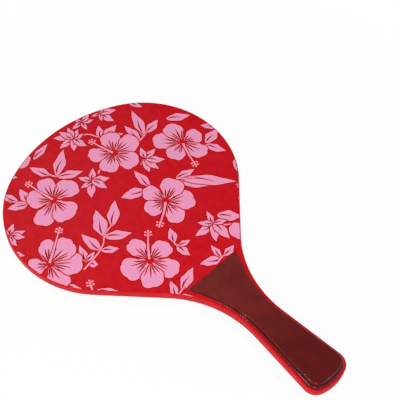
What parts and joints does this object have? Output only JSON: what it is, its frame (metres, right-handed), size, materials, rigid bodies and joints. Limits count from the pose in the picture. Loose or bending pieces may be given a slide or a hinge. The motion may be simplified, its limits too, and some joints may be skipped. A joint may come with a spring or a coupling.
{
  "type": "wooden beach racket",
  "caption": "Rigid wooden beach racket: round-headed laminated board with a floral printed face and a shaped scale on each side of its flared handle.",
  "frame": {"origin": "centre of the bounding box's bottom: the lowest point of the back grip scale's height, midway along the racket", "axes": "+X from the head to the handle's butt, +Z out of the printed front face"},
  "size_m": [0.375, 0.242, 0.0216],
  "materials": {
    "red_lacquer": "red satin lacquer over plywood, with a pink floral print on both faces",
    "grip_varnish": "dark brown glossy varnish over wood",
    "dowel_wood": "bare beech"
  },
  "bodies": {
    "root": {"face_ply_front": "red_lacquer", "crossband_front": "red_lacquer", "core_ply": "red_lacquer", "crossband_back": "red_lacquer", "face_ply_back": "red_lacquer", "grip_scale_front": "grip_varnish", "grip_scale_back": "grip_varnish", "dowel_butt": "dowel_wood", "dowel_waist": "dowel_wood", "dowel_flare": "dowel_wood"}
  },
  "joints": []
}
